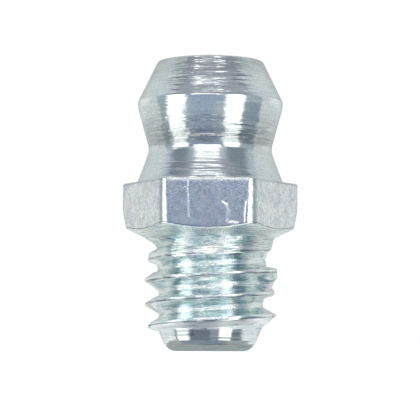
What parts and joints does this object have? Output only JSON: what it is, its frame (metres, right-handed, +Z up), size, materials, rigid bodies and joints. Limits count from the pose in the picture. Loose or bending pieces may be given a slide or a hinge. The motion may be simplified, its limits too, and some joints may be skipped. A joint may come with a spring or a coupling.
{
  "type": "grease nipple",
  "caption": "Straight ball-check grease nipple: necked coupling head, hexagon, M6 external thread and rolled-in end that holds a ball and spring.",
  "frame": {"origin": "centre of the flat foot, where the rolled-in end meets the surface that the nipple stands on", "axes": "+Z up the axis from the foot to the coupling face; +X through two corners of the hexagon; one flat of the hexagon faces -Y"},
  "size_m": [0.008, 0.007, 0.0132],
  "materials": {
    "zinc_plated_steel": "bright zinc plate with a blue-white passivation, fine turning marks",
    "hardened_ball_steel": "polished",
    "spring_steel": "drawn wire, lightly oiled"
  },
  "bodies": {
    "root": {"body": "zinc_plated_steel", "valve_spring": "spring_steel"},
    "ball": {"check_ball": "hardened_ball_steel"}
  },
  "joints": [
    {"name": "ball_travel", "type": "slide", "parent": "root", "child": "ball", "axis": [0, 0, -1], "range_m": [0, 0.001], "stiffness_N_per_m": 1300, "springref_m": -0.0015, "deforming": ["valve_spring"]}
  ]
}
